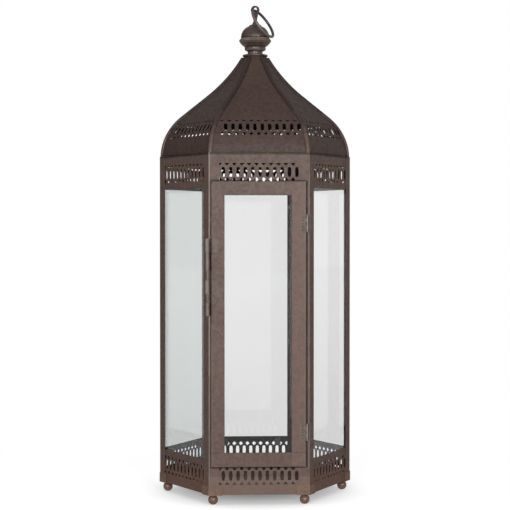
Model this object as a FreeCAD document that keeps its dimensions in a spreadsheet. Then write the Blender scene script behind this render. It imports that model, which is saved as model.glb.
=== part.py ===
import FreeCAD, Part
import math
import os
import re

import Sketcher
from FreeCAD import Placement, Rotation, Vector

# A six-sided candle lantern of pierced sheet iron that stands on the floor.
# Millimetres, +Z up. The origin is the middle of the six ball feet, on the floor.
# The door is in the front wall, which faces -Y.

# ---------------------------------------------------------------- driving sizes
SIZES = {
    # body: a regular hexagon with a corner on +X and on -X. The roof and the spacing of the pierced
    # strips keep the proportions that they have on a lantern of the drawn side.
    "side": 155.0,
    "drawn_side": 155.0,
    "foot_height": 16.0,
    "body_height": 527.0,
    "post_flange": 15.8,
    "post_sheet": 1.0,
    "panel_sheet": 1.0,
    "panel_corner_gap": 0.3,
    "plinth_height": 53.3,
    "frieze_height": 53.1,
    # pierced strip, measured from the edge of the strip that its diamonds are nearest to
    "slot_count": 11,
    "slot_pitch": 11.32,
    "strip_shift": 1.3,
    "diamond_start": 8.7,
    "diamond_width": 7.0,
    "diamond_height": 7.0,
    "slot_start": 16.3,
    "slot_length": 14.8,
    "slot_width": 5.6,
    "slot_end_width": 3.8,
    "triangle_start": 33.2,
    "triangle_width": 8.0,
    "triangle_height": 4.1,
    # glazing
    "glass": 2.0,
    "glass_lap": 8.0,
    "glass_corner_gap": 1.0,
    "clip_sheet": 0.8,
    "clip_width": 10.0,
    "clip_lip": 5.5,
    "clip_foot": 6.0,
    "clip_spacing": 90.0,
    "door_clip_spacing": 60.0,
    "door_clip_drop": 60.0,
    "clip_play": 0.1,
    # floor of the lantern and its feet
    "base_sheet": 1.2,
    "base_play": 0.2,
    "foot_inset": 13.0,
    "foot_radius": 7.7,
    "foot_flat": 2.4,
    "foot_neck": 3.6,
    "bracket_sheet": 0.8,
    "bracket_height": 14.0,
    "bracket_flange": 20.0,
    "tab_reach": 6.5,
    "tab_end": 11.0,
    "screw_radius": 2.0,
    "screw_play": 0.1,
    "screw_depth": 9.0,
    "screw_head_radius": 4.0,
    "screw_head_height": 2.4,
    "screw_head_round": 1.1,
    # roof of a lantern of the drawn side, seen square to one wall: eave, convex sweep, straight
    # slope, concave sweep
    "roof_sheet": 1.0,
    "roof_inset": 3.56,
    "roof_eave_tilt": 1.0,
    "roof_convex_radius": 87.8,
    "roof_tilt": 47.3,
    "roof_slope": 50.1,
    "roof_concave_radius": 231.1,
    "roof_height": 163.0,
    "roof_joint_gap": 0.6,
    "lip_up": 1.3,
    "lip_overhang": 0.8,
    "lip_sheet": 1.3,
    "lip_corner": 6.9,
    "roof_strip_start": 27.6,
    "roof_strip_shift": 5.4,
    "roof_diamond_height": 4.9,
    "roof_slot_start": 7.3,
    "roof_slot_length": 10.8,
    "roof_triangle_start": 21.6,
    "roof_triangle_height": 2.2,
    # cover strips over the six roof joints
    "rib_width": 7.0,
    "rib_rise": 2.6,
    "rib_edge": 0.8,
    "rib_fold": 19.0,
    "rib_play": 0.25,
    "rib_stop": 2.0,
    # collar, finial and hanger, all on the axis
    "collar_radius": 20.3,
    "collar_rim": 2.3,
    "collar_top_step": 1.0,
    "collar_height": 3.9,
    "collar_spigot_play": 0.4,
    "collar_spigot": 4.0,
    "neck_radius": 12.2,
    "neck_height": 11.6,
    "neck_bead_radius": 16.5,
    "neck_bead_bulge": 0.7,
    "neck_bead_step": 0.9,
    "neck_bead_height": 7.0,
    "bowl_height": 14.3,
    "bowl_foot_radius": 16.9,
    "bowl_bulge": 1.1,
    "rim_radius": 26.2,
    "rim_height": 10.0,
    "rim_bulge": 0.35,
    "rim_step": 0.6,
    "spun_sheet": 1.2,
    "dome_radius": 23.0,
    "dome_height": 19.2,
    "dome_bulge": 3.8,
    "shoulder_radius": 9.6,
    "shoulder_height": 1.8,
    "shoulder_step": 0.6,
    "rod_radius": 3.0,
    "rod_play": 0.1,
    "stem_foot_radius": 5.8,
    "stem_foot_height": 0.8,
    "stem_hollow": 0.9,
    "stem_waist_radius": 2.5,
    "stem_waist_height": 10.2,
    "eye_height": 24.8,
    "eye_radius": 6.7,
    "eye_hole_radius": 4.1,
    "eye_sheet": 4.6,
    "eye_foot": 4.2,
    "eye_hollow": 0.5,
    "eye_turn": 28.0,
    "nut_width": 10.0,
    "nut_height": 5.0,
    "rod_tail": 3.0,
    "ring_radius": 25.6,
    "ring_wire": 2.2,
    "ring_play": 0.4,
    "ring_lean": 32.5,
    # door: a folded frame laid over the front wall
    "door_left_in": 3.6,
    "door_right_in": 6.2,
    "door_over_plinth": 9.3,
    "door_over_frieze": 9.0,
    "door_stile_left": 20.4,
    "door_stile_right": 21.9,
    "door_rail_bottom": 22.2,
    "door_rail_top": 21.4,
    "door_depth": 4.6,
    "door_sheet": 1.2,
    "door_play": 0.4,
    "door_edge_round": 0.7,
    "door_glass_lap": 6.0,
    "door_glass_play": 0.1,
    # two butt hinges on the right-hand corner post
    "hinge_axis_in": 3.6,
    "hinge_up": 39.6,
    "hinge_down": 77.9,
    "hinge_height": 26.4,
    "hinge_barrel_radius": 2.0,
    "hinge_pin_radius": 1.1,
    "hinge_play": 0.05,
    "hinge_end_play": 0.15,
    "hinge_leaf": 0.9,
    "hinge_door_leaf_width": 9.0,
    "hinge_wrap": 11.0,
    "rivet_radius": 1.0,
    "rivet_height": 0.6,
    "rivet_pitch": 4.6,
    "post_rivet_pitch": 8.3,
    "post_rivet_in": 6.6,
    # barrel bolt on the left edge of the door, with its keeper on the corner post
    "bolt_out": 1.5,
    "bolt_radius": 2.1,
    "bolt_play": 0.08,
    "guide_radius": 4.5,
    "guide_leaf": 1.1,
    "guide_leaf_width": 16.2,
    "guide_down": 108.7,
    "guide_high_length": 20.8,
    "guide_spacing": 63.6,
    "guide_low_length": 20.5,
    "grip_radius": 3.5,
    "grip_length": 28.2,
    "grip_play": 0.3,
    "keeper_radius": 3.2,
    "keeper_down": 33.6,
    "keeper_length": 20.4,
    "keeper_play": 0.3,
    "keeper_saddle": 5.2,
    "bolt_tip_gap": 0.8,
    "bolt_tip_round": 0.7,
    "grip_edge": 0.5,
    "bolt_top_gap": 1.0,
}

# ---------------------------------------------------------------- worked-out sizes
DERIVED = {
    "apothem": "side * cos(30 deg)",
    "half_side": "side / 2",
    "eave": "foot_height + body_height",
    "panel_back": "apothem - post_sheet - panel_sheet",
    "panel_half": "panel_back * tan(30 deg) - panel_corner_gap",
    "glass_back": "panel_back - glass",
    "glass_half": "glass_back * tan(30 deg) - glass_corner_gap",
    "plinth_top": "foot_height + plinth_height",
    "frieze_low": "eave - frieze_height",
    "breadth": "side / drawn_side",
    "pitch": "slot_pitch * breadth",
    "slot_first": "-(slot_count - 1) / 2 * pitch",
    "foot_circle": "side - foot_inset",
    "bracket_low": "foot_height - bracket_sheet",
    "base_apothem": "panel_back - base_play",
    "screw_low": "foot_height - screw_depth",
    "foot_middle": "sqrt(foot_radius ^ 2 - foot_flat ^ 2)",
    "foot_neck_low": "foot_middle + sqrt(foot_radius ^ 2 - foot_neck ^ 2)",
    "base_top": "foot_height + base_sheet",
    "roof_out": "apothem - roof_inset",
    "roof_top": "eave + roof_height * breadth",
    "convex": "roof_convex_radius * breadth",
    "slope": "roof_slope * breadth",
    "concave": "roof_concave_radius * breadth",
    # points of the roof's outer face: the knee ends the convex sweep, the hip starts the concave one
    "knee_out": "roof_out + convex * (cos(roof_tilt * 1 deg) - cos(roof_eave_tilt * 1 deg))",
    "knee_up": "eave + convex * (sin(roof_tilt * 1 deg) - sin(roof_eave_tilt * 1 deg))",
    "hip_out": "knee_out - slope * sin(roof_tilt * 1 deg)",
    "hip_up": "knee_up + slope * cos(roof_tilt * 1 deg)",
    "crown_sine": "sin(roof_tilt * 1 deg) - (roof_top - hip_up) / concave",
    "crown_cosine": "sqrt(1 - crown_sine * crown_sine)",
    "crown_out": "hip_out - concave * (crown_cosine - cos(roof_tilt * 1 deg))",
    "crown_in": "crown_out - roof_sheet / crown_cosine",
    "lip_out": "apothem + lip_overhang",
    "lip_half": "half_side - lip_corner",
    "roof_strip": "eave + roof_strip_start * breadth",
    "collar_top": "roof_top + collar_height",
    "neck_top": "collar_top + neck_height",
    "bowl_top": "neck_top + bowl_height",
    "dome_shoulder": "bowl_top + dome_height",
    "dome_top": "dome_shoulder + shoulder_height",
    "bead_low": "neck_top - neck_bead_height",
    "rim_up": "neck_top + rim_height",
    "spigot_radius": "crown_in - collar_spigot_play",
    "spigot_low": "roof_top - collar_spigot",
    "nut_low": "spigot_low - nut_height",
    "eye_up": "dome_top + eye_height",
    "rod_hole": "rod_radius + rod_play",
    "door_back": "apothem + door_play",
    "door_face": "door_back + door_depth",
    "door_plate_back": "door_face - door_sheet",
    "door_left": "half_side - door_left_in",
    "door_right": "half_side - door_right_in",
    "door_bottom": "plinth_top - door_over_plinth",
    "door_top": "frieze_low + door_over_frieze",
    "window_left": "door_left - door_stile_left",
    "window_right": "door_right - door_stile_right",
    "window_low": "door_bottom + door_rail_bottom",
    "window_high": "door_top - door_rail_top",
    "hinge_x": "half_side - hinge_axis_in",
    "hinge_y": "door_face + hinge_leaf - hinge_barrel_radius",
    "bolt_x": "half_side + bolt_out",
    "bolt_y": "door_face + guide_radius",
    "hinge_low": "door_bottom + hinge_up",
    "hinge_high": "door_top - hinge_down",
    "guide_high": "door_top - guide_down",
    "guide_low": "guide_high - guide_spacing",
    "keeper_low": "guide_low - keeper_down",
    "grip_top": "guide_high - grip_play",
    "grip_low": "grip_top - grip_length",
    "keeper_top": "keeper_low + keeper_length",
}

WALLS = ["front", "front_right", "back_right", "back", "back_left", "front_left"]
CORNERS = ["right", "back_right", "back_left", "left", "front_left", "front_right"]

doc = FreeCAD.newDocument("lantern")
sheet = doc.addObject("Spreadsheet::Sheet", "Sizes")
contents = {alias: str(number) for alias, number in SIZES.items()}
contents.update({alias: "=" + formula for alias, formula in DERIVED.items()})
for row, (alias, content) in enumerate(contents.items(), start=1):
    sheet.set(f"A{row}", alias)
    sheet.set(f"B{row}", content)
    sheet.setAlias(f"B{row}", alias)
doc.recompute()

sub_parts = []


def bound(text):
    """The expression with each size named as a cell of the sheet."""
    return re.sub(r"[a-z]\w*", lambda word: "Sizes." * (word.group(0) in contents) + word.group(0), text)


def size(text):
    """The number that an expression of sizes comes to."""
    answer = sheet.evalExpression(bound(text))
    return float(getattr(answer, "Value", answer))


def turned(degrees):
    return Placement(Vector(), Rotation(Vector(0, 0, 1), degrees))


# ---------------------------------------------------------------- sketches and features
def new_body(label, placement=None, loose=False):
    """A named sub-part. A loose one is a group of separate, like solids."""
    body = doc.addObject("PartDesign::Body", label)
    body.Label = label
    if loose:
        body.AllowCompound = True
    if placement:
        body.Placement = placement
    sub_parts.append(body)
    return body


def new_sketch(body, name, plane, offset="0", across="0"):
    """A sketch on a plane of the body, moved by offset along its normal and by across along its X."""
    sketch = body.newObject("Sketcher::SketchObject", f"{body.Name}_{name}")
    origin = [f for f in body.Origin.OriginFeatures if f.Role == plane][0]
    sketch.AttachmentSupport = [(origin, "")]
    sketch.MapMode = "FlatFace"
    sketch.setExpression("AttachmentOffset.Base.x", bound(across))
    sketch.setExpression("AttachmentOffset.Base.z", bound(offset))
    return sketch


def hold(sketch, kind, *where, value):
    """A dimension of the sketch, driven by an expression of sizes."""
    index = sketch.addConstraint(Sketcher.Constraint(kind, *where, size(value)))
    sketch.setExpression(f"Constraints[{index}]", bound(value))


def arc_between(start, end, bulge):
    """The arc from start to end that stands out by bulge to the right-hand side of the way, and
    whether the sketch holds it from end to start, as one that turns clockwise."""
    along = end - start
    side = Vector(along.y, -along.x, 0).normalize()
    radius = along.Length ** 2 / (8 * abs(bulge)) + abs(bulge) / 2
    centre = (start + end) / 2 - side * (radius - abs(bulge)) * math.copysign(1, bulge)
    first, last = (start, end) if bulge > 0 else (end, start)
    angles = [math.atan2(point.y - centre.y, point.x - centre.x) for point in (first, last)]
    if angles[1] < angles[0]:
        angles[1] += 2 * math.pi
    return Part.ArcOfCircle(Part.Circle(centre, Vector(0, 0, 1), radius), *angles), bulge < 0


def outline(sketch, corners, bulges=None):
    """A closed outline. corners are (x, y) expressions; bulges[i] is how far the edge after
    corner i stands out to its right-hand side, as an arc."""
    bulges = bulges or {}
    points = [Vector(size(x), size(y), 0) for x, y in corners]
    first = sketch.GeometryCount
    count = len(points)
    ends = []
    for i, start in enumerate(points):
        end = points[(i + 1) % count]
        swapped = False
        edge = Part.LineSegment(start, end)
        if i in bulges:
            edge, swapped = arc_between(start, end, size(bulges[i]))
        sketch.addGeometry(edge, False)
        ends.append((2, 1) if swapped else (1, 2))
    for i in range(count):
        after = (i + 1) % count
        sketch.addConstraint(Sketcher.Constraint(
            "Coincident", first + i, ends[i][1], first + after, ends[after][0]))
    for i, (x, y) in enumerate(corners):
        hold(sketch, "DistanceX", -1, 1, first + i, ends[i][0], value=x)
        hold(sketch, "DistanceY", -1, 1, first + i, ends[i][0], value=y)
    for i, bulge in bulges.items():
        (x1, y1), (x2, y2) = corners[i], corners[(i + 1) % count]
        chord = f"(({x1}) - ({x2})) ^ 2 + (({y1}) - ({y2})) ^ 2"
        rise = f"abs({bulge})"
        hold(sketch, "Radius", first + i, value=f"({chord}) / (8 * {rise}) + {rise} / 2")


def rectangle(sketch, x_low, x_high, y_low, y_high):
    outline(sketch, [(x_low, y_low), (x_high, y_low), (x_high, y_high), (x_low, y_high)])


def circle(sketch, x, y, radius):
    place = sketch.addGeometry(Part.Circle(Vector(size(x), size(y), 0), Vector(0, 0, 1), size(radius)))
    hold(sketch, "DistanceX", -1, 1, place, 3, value=x)
    hold(sketch, "DistanceY", -1, 1, place, 3, value=y)
    hold(sketch, "Radius", place, value=radius)


def pad(body, sketch, length, midplane=False, reverse=False):
    feature = body.newObject("PartDesign::Pad", sketch.Name + "_pad")
    feature.Profile = sketch
    feature.setExpression("Length", bound(length))
    feature.Midplane = midplane
    feature.Reversed = reverse
    sketch.Visibility = False
    return feature


def volume_left(body, feature, volume):
    """Stop if a cut took nothing away."""
    doc.recompute()
    if not feature.Shape.Volume < volume:
        raise ValueError(f"{feature.Name} cuts nothing from {body.Label}")


def pocket(body, sketch, length, midplane=False, reverse=False):
    doc.recompute()
    before = body.Shape.Volume
    feature = body.newObject("PartDesign::Pocket", sketch.Name + "_cut")
    feature.Profile = sketch
    feature.setExpression("Length", bound(length))
    feature.Midplane = midplane
    feature.Reversed = reverse
    volume_left(body, feature, before)
    return feature


def revolve(body, sketch):
    feature = body.newObject("PartDesign::Revolution", sketch.Name + "_turning")
    feature.Profile = sketch
    feature.ReferenceAxis = (sketch, ["V_Axis"])
    feature.Angle = 360
    return feature


def row_of(body, originals, direction, count, pitch):
    """The features repeated along a row."""
    pattern = body.newObject("PartDesign::LinearPattern", body.Name + "_row")
    pattern.Originals = originals
    pattern.Direction = direction
    pattern.Mode = "Spacing"
    pattern.setExpression("Offset", bound(pitch))
    pattern.setExpression("Occurrences", bound(count))
    body.Tip = pattern
    return pattern


def ring_of(body, originals, count):
    """The features repeated around the upright axis."""
    pattern = body.newObject("PartDesign::PolarPattern", body.Name + "_ring")
    pattern.Originals = originals
    pattern.Axis = ([f for f in body.Origin.OriginFeatures if f.Role == "Z_Axis"][0], [""])
    pattern.Angle = 360
    pattern.Occurrences = count
    body.Tip = pattern
    return pattern


def shape_part(label, shape, placement=None):
    """A sub-part whose shape is made directly from the sizes."""
    part = doc.addObject("Part::Feature", label)
    part.Label = label
    part.Shape = shape
    if placement:
        part.Placement = placement
    sub_parts.append(part)
    return part


def block(x_low, x_high, y_low, y_high, z_low, z_high):
    return Part.makeBox(x_high - x_low, y_high - y_low, z_high - z_low, Vector(x_low, y_low, z_low))


# ---------------------------------------------------------------- corner posts
def corner_post(name, degrees):
    """Sheet bent to the 120 degrees of a corner, the full height of the walls."""
    body = new_body(f"corner_post_{name}", turned(degrees))
    sketch = new_sketch(body, "section", "XY_Plane", "foot_height")
    tip_x = "side - post_flange * 0.5"
    tip_y = "post_flange * cos(30 deg)"
    inner_x = f"{tip_x} - post_sheet * cos(30 deg)"
    inner_y = f"({tip_y} - post_sheet * 0.5)"
    outline(sketch, [
        ("side", "0"), (tip_x, tip_y), (inner_x, inner_y),
        ("side - post_sheet / cos(30 deg)", "0"), (inner_x, f"-{inner_y}"), (tip_x, f"-({tip_y})")])
    pad(body, sketch, "body_height")


# ---------------------------------------------------------------- pierced plinth and frieze
def motif(sketch, centre, base, up, parts):
    """One repeat of the pierced strip: a baluster slot, with a diamond and a triangle half a
    pitch to its left. up is 1 where the diamond is below the slot, and -1 where it is above."""
    def at(offset):
        return f"{base} + {up} * ({offset})"
    slot_low, slot_high = parts["slot"]
    end = "slot_end_width / 2"
    right = "-1" if up > 0 else "1"
    rise = "(slot_width - slot_end_width) / 2"
    corners = [(f"{centre} - {end}", at(slot_low)), (f"{centre} - {end}", at(slot_high)),
               (f"{centre} + {end}", at(slot_high)), (f"{centre} + {end}", at(slot_low))]
    outline(sketch, corners, {0: f"{right} * {rise}", 2: f"{right} * {rise}"})
    left = f"{centre} - pitch / 2"
    low, high = parts["diamond"]
    middle = f"(({low}) + ({high})) / 2"
    outline(sketch, [(left, at(low)), (f"{left} + diamond_width / 2", at(middle)),
                     (left, at(high)), (f"{left} - diamond_width / 2", at(middle))])
    low, high = parts["triangle"]
    outline(sketch, [(left, at(low)), (f"{left} + triangle_width / 2", at(high)),
                     (f"{left} - triangle_width / 2", at(high))])


FLAT_STRIP = {
    "diamond": ("diamond_start", "diamond_start + diamond_height"),
    "slot": ("slot_start", "slot_start + slot_length"),
    "triangle": ("triangle_start", "triangle_start + triangle_height"),
}

ROOF_STRIP = {
    "diamond": ("0", "roof_diamond_height"),
    "slot": ("roof_slot_start", "roof_slot_start + roof_slot_length"),
    "triangle": ("roof_triangle_start", "roof_triangle_start + roof_triangle_height"),
}


def pierced_panel(label, degrees, low, high, base, up):
    """A length of pierced strip behind the flanges of two posts."""
    body = new_body(label, turned(degrees))
    blank = new_sketch(body, "blank", "XZ_Plane", "panel_back")
    rectangle(blank, "-panel_half", "panel_half", low, high)
    pad(body, blank, "panel_sheet")
    cuts = new_sketch(body, "piercing", "XZ_Plane", "panel_back")
    motif(cuts, "slot_first + strip_shift", base, up, FLAT_STRIP)
    cut = pocket(body, cuts, "4 * panel_sheet", midplane=True)
    row_of(body, [cut], (cuts, ["H_Axis"]), "slot_count", "pitch")


# ---------------------------------------------------------------- glazing
def glass_pane(name, degrees):
    """A fixed pane, behind the plinth and the frieze at its two ends."""
    body = new_body(f"glass_pane_{name}", turned(degrees))
    sketch = new_sketch(body, "pane", "XZ_Plane", "glass_back")
    rectangle(sketch, "-glass_half", "glass_half", "plinth_top - glass_lap", "frieze_low + glass_lap")
    pad(body, sketch, "glass")


def clip(seat, grip, edge, up):
    """A bent tab, at x = 0 on the front wall. Its foot lies on the metal at distance seat from the
    axis, its shelf passes the edge of the glass, and its lip lies behind the glass at grip."""
    half = size("clip_width") / 2
    thick = size("clip_sheet")
    play = size("clip_play")
    shelf = edge - up * play
    heights = {
        "foot": (shelf - up * size("clip_foot"), shelf),
        "lip": (shelf - up * thick, shelf + up * size("clip_lip")),
    }
    foot = block(-half, half, -seat, -seat + thick, *sorted(heights["foot"]))
    lip = block(-half, half, -grip + play, -grip + play + thick, *sorted(heights["lip"]))
    shelf_block = block(-half, half, -seat, -grip + play + thick, *sorted((shelf - up * thick, shelf)))
    return foot.fuse([shelf_block, lip]).removeSplitter()


def pane_clips():
    """Four bent tabs hold each fixed pane to the plinth and the frieze."""
    solids = []
    seat, grip = size("panel_back"), size("glass_back")
    ends = [(size("plinth_top - glass_lap"), 1), (size("frieze_low + glass_lap"), -1)]
    for wall in range(1, len(WALLS)):
        for edge, up in ends:
            for x in (-size("clip_spacing") / 2, size("clip_spacing") / 2):
                tab = clip(seat, grip, edge, up)
                tab.translate(Vector(x, 0, 0))
                tab.rotate(Vector(), Vector(0, 0, 1), 60 * wall)
                solids.append(tab)
    shape_part("pane_clips", Part.makeCompound(solids))


# ---------------------------------------------------------------- floor and feet
def hexagon(sketch, apothem):
    """A hexagon with a corner on each side of the X axis."""
    radius = f"({apothem}) / cos(30 deg)"
    outline(sketch, [(f"{radius} * cos({60 * k} deg)", f"{radius} * sin({60 * k} deg)") for k in range(6)])


def base_plate():
    """The floor that the candle stands on, flush with the bottom of the walls."""
    body = new_body("base_plate")
    sketch = new_sketch(body, "plate", "XY_Plane", "foot_height")
    hexagon(sketch, "base_apothem")
    pad(body, sketch, "base_sheet")
    hole = new_sketch(body, "screw_hole", "XY_Plane", "foot_height")
    circle(hole, "foot_circle", "0", "screw_radius + screw_play")
    cut = pocket(body, hole, "4 * base_sheet", midplane=True)
    ring_of(body, [cut], 6)


def foot_brackets():
    """Bent corner plates on the outside of the posts, each with a tab under the floor for a foot."""
    body = new_body("foot_brackets", loose=True)
    wrap = new_sketch(body, "wrap", "XY_Plane", "bracket_low")
    tip_x = "side - bracket_flange * 0.5"
    tip_y = "(bracket_flange * cos(30 deg))"
    outer_x = f"{tip_x} + bracket_sheet * cos(30 deg)"
    outer_y = f"({tip_y} + bracket_sheet * 0.5)"
    outline(wrap, [
        ("side + bracket_sheet / cos(30 deg)", "0"), (outer_x, outer_y), (tip_x, tip_y),
        ("side", "0"), (tip_x, f"-{tip_y}"), (outer_x, f"-{outer_y}")])
    walls = pad(body, wrap, "bracket_height + bracket_sheet")
    tab = new_sketch(body, "tab", "XY_Plane", "bracket_low")
    outline(tab, [("side", "0"), (tip_x, tip_y), ("foot_circle - tab_reach", "tab_end / 2"),
                  ("foot_circle - tab_reach", "-tab_end / 2"), (tip_x, f"-{tip_y}")])
    floor = pad(body, tab, "bracket_sheet")
    doc.recompute()
    hole = new_sketch(body, "screw_hole", "XY_Plane", "bracket_low")
    circle(hole, "foot_circle", "0", "screw_radius + screw_play")
    cut = pocket(body, hole, "4 * bracket_sheet", midplane=True)
    ring_of(body, [walls, floor, cut], 6)


def turned_at_feet(label, corners, bulges):
    """A group of six turned pieces, one over the middle of each foot."""
    body = new_body(label, loose=True)
    sketch = new_sketch(body, "profile", "XZ_Plane", across="foot_circle")
    outline(sketch, corners, bulges)
    ring_of(body, [revolve(body, sketch)], 6)


def ball_feet():
    """Six turned balls, flattened where they stand, with a short neck and a screw hole."""
    hole = "(screw_radius + screw_play)"
    chord = "(foot_flat - foot_neck) ^ 2 + foot_neck_low ^ 2"
    side_of_ball = f"foot_radius - sqrt(foot_radius ^ 2 - ({chord}) / 4)"
    turned_at_feet("ball_feet", [
        ("0", "0"), ("foot_flat", "0"), ("foot_neck", "foot_neck_low"), ("foot_neck", "bracket_low"),
        (hole, "bracket_low"), (hole, "screw_low - screw_play"), ("0", "screw_low - screw_play")],
        {1: side_of_ball})


def foot_screws():
    """Pan-head screws down through the floor and a bracket into each foot."""
    head_top = "base_top + screw_head_height"
    turned_at_feet("foot_screws", [
        ("0", "screw_low"), ("screw_radius", "screw_low"), ("screw_radius", "base_top"),
        ("screw_head_radius", "base_top"), ("screw_head_radius", f"{head_top} - screw_head_round"),
        ("screw_head_radius - screw_head_round", head_top), ("0", head_top)],
        {4: "screw_head_round * (1 - cos(45 deg))"})


# ---------------------------------------------------------------- roof
def roof_panel(name, degrees):
    """One ogee side of the roof, mitred at the joints, with a lip that overhangs the wall's top and
    a pierced band above it."""
    body = new_body(f"roof_panel_{name}", turned(degrees))
    profile = new_sketch(body, "profile", "YZ_Plane")
    in_out, in_up = "roof_sheet * cos(roof_tilt * 1 deg)", "roof_sheet * sin(roof_tilt * 1 deg)"
    corners = [
        ("-roof_out", "eave"), ("-knee_out", "knee_up"), ("-hip_out", "hip_up"),
        ("-crown_out", "roof_top"), ("-crown_in", "roof_top"),
        (f"{in_out} - hip_out", f"hip_up - {in_up}"), (f"{in_out} - knee_out", f"knee_up - {in_up}"),
        ("roof_sheet - roof_out", "eave")]

    def sagitta(radius, start, end):
        x1, y1 = start
        x2, y2 = end
        chord = f"((({x1}) - ({x2})) ^ 2 + (({y1}) - ({y2})) ^ 2)"
        return f"({radius} - sqrt({radius} ^ 2 - {chord} / 4))"

    outline(profile, corners, {
        0: "-" + sagitta("convex", corners[0], corners[1]),
        2: sagitta("concave", corners[2], corners[3]),
        4: "-" + sagitta("(concave + roof_sheet)", corners[4], corners[5]),
        6: sagitta("(convex - roof_sheet)", corners[6], corners[7])})
    pad(body, profile, "side", midplane=True)

    mitres = new_sketch(body, "mitres", "XY_Plane", "eave")
    apex = "-roof_joint_gap / sin(30 deg)"
    reach_y = "-1.5 * side"
    reach_x = "(1.5 * side * tan(30 deg) - roof_joint_gap / cos(30 deg))"
    outline(mitres, [("0", apex), (reach_x, reach_y), ("2 * side", reach_y), ("2 * side", "side"),
                     ("-2 * side", "side"), ("-2 * side", reach_y), (f"-{reach_x}", reach_y)])
    pocket(body, mitres, "2 * (roof_top - eave)", reverse=True)

    lip = new_sketch(body, "lip", "XY_Plane", "eave + lip_up")
    rectangle(lip, "-lip_half", "lip_half", "-lip_out", "roof_sheet / 2 - roof_out")
    pad(body, lip, "lip_sheet")

    cuts = new_sketch(body, "piercing", "XZ_Plane", "hip_out")
    motif(cuts, "slot_first + roof_strip_shift", "roof_strip", 1, ROOF_STRIP)
    cut = pocket(body, cuts, "apothem - hip_out", reverse=True)
    row_of(body, [cut], (cuts, ["H_Axis"]), "slot_count", "pitch")


def joint_curve():
    """The line where two roof faces would meet, drawn in the XZ plane over the corner on +X, and
    carried on straight past both ends."""
    eave_tilt = math.radians(size("roof_eave_tilt"))
    tilt = math.radians(size("roof_tilt"))
    crown_tilt = math.asin(size("crown_sine"))
    convex, concave = size("convex"), size("concave")
    start = Vector(size("roof_out"), 0, size("eave"))
    knee = Vector(size("knee_out"), 0, size("knee_up"))
    hip = Vector(size("hip_out"), 0, size("hip_up"))
    crown = Vector(size("crown_out"), 0, size("roof_top"))

    def face_normal(angle):
        return Vector(math.cos(angle), 0, math.sin(angle))

    def along(angle):
        return Vector(-math.sin(angle), 0, math.cos(angle))

    convex_centre = knee - face_normal(tilt) * convex
    concave_centre = hip + face_normal(tilt) * concave
    convex_middle = convex_centre + face_normal((eave_tilt + tilt) / 2) * convex
    concave_middle = concave_centre - face_normal((tilt + crown_tilt) / 2) * concave
    run_out = 4.0 * size("rib_rise")
    edges = [
        Part.LineSegment(start - along(eave_tilt) * run_out, start).toShape(),
        Part.Arc(start, convex_middle, knee).toShape(),
        Part.LineSegment(knee, hip).toShape(),
        Part.Arc(hip, concave_middle, crown).toShape(),
        Part.LineSegment(crown, crown + along(crown_tilt) * run_out).toShape(),
    ]
    stretch = FreeCAD.Matrix()
    stretch.A11 = 1 / math.cos(math.radians(30))
    return Part.Wire([edge.transformGeometry(stretch).Edges[0] for edge in edges])


def roof_rib_solid():
    """A cover strip of half-round section, folded underneath to sit over the joint of two roof
    panels, from the top of a post to just under the collar."""
    path = joint_curve()
    first = path.OrderedEdges[0]
    start = first.valueAt(first.FirstParameter)
    tangent = first.tangentAt(first.FirstParameter)
    across = Vector(0, 1, 0)
    outward = across.cross(tangent)
    if outward.x < 0:
        outward = outward * -1
    half = size("rib_width") / 2
    lift = size("rib_play")
    drop = half * math.tan(math.radians(size("rib_fold")))
    edge = size("rib_edge")

    def at(u, w):
        return start + across * u + outward * w

    section = Part.Wire([
        Part.LineSegment(at(-half, lift - drop), at(0, lift)).toShape(),
        Part.LineSegment(at(0, lift), at(half, lift - drop)).toShape(),
        Part.LineSegment(at(half, lift - drop), at(half, lift - drop + edge)).toShape(),
        Part.Arc(at(half, lift - drop + edge), at(0, lift + size("rib_rise")),
                 at(-half, lift - drop + edge)).toShape(),
        Part.LineSegment(at(-half, lift - drop + edge), at(-half, lift - drop)).toShape(),
    ])
    sweep = Part.BRepOffsetAPI.MakePipeShell(path)
    sweep.setBiNormalMode(across)
    sweep.add(section, False, False)
    sweep.build()
    sweep.makeSolid()
    band = block(0, 2 * size("side"), -half * 2, half * 2, size("eave"),
                 size("roof_top - rib_stop"))
    return sweep.shape().common(band).Solids[0]


# ---------------------------------------------------------------- collar, finial and hanger
def turning(label, corners, bulges=None):
    """A turned or spun piece on the axis."""
    body = new_body(label)
    sketch = new_sketch(body, "profile", "XZ_Plane")
    outline(sketch, corners, bulges)
    revolve(body, sketch)


def roof_collar():
    """A disc on top of the roof, with a spigot inside the ends of the six panels."""
    turning("roof_collar", [
        ("rod_hole", "spigot_low"), ("spigot_radius", "spigot_low"), ("spigot_radius", "roof_top"),
        ("collar_radius", "roof_top"), ("collar_radius", "roof_top + collar_rim"),
        ("neck_radius + collar_top_step", "collar_top"), ("rod_hole", "collar_top")])


def finial_neck():
    """The turned neck of the finial, with a rounded bead on top."""
    turning("finial_neck", [
        ("rod_hole", "collar_top"), ("neck_radius", "collar_top"), ("neck_radius", "bead_low"),
        ("neck_radius + neck_bead_step", "bead_low"),
        ("neck_bead_radius", "bead_low + 0.2 * neck_bead_height"), ("neck_bead_radius", "neck_top"),
        ("rod_hole", "neck_top")], {4: "neck_bead_bulge"})


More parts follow.
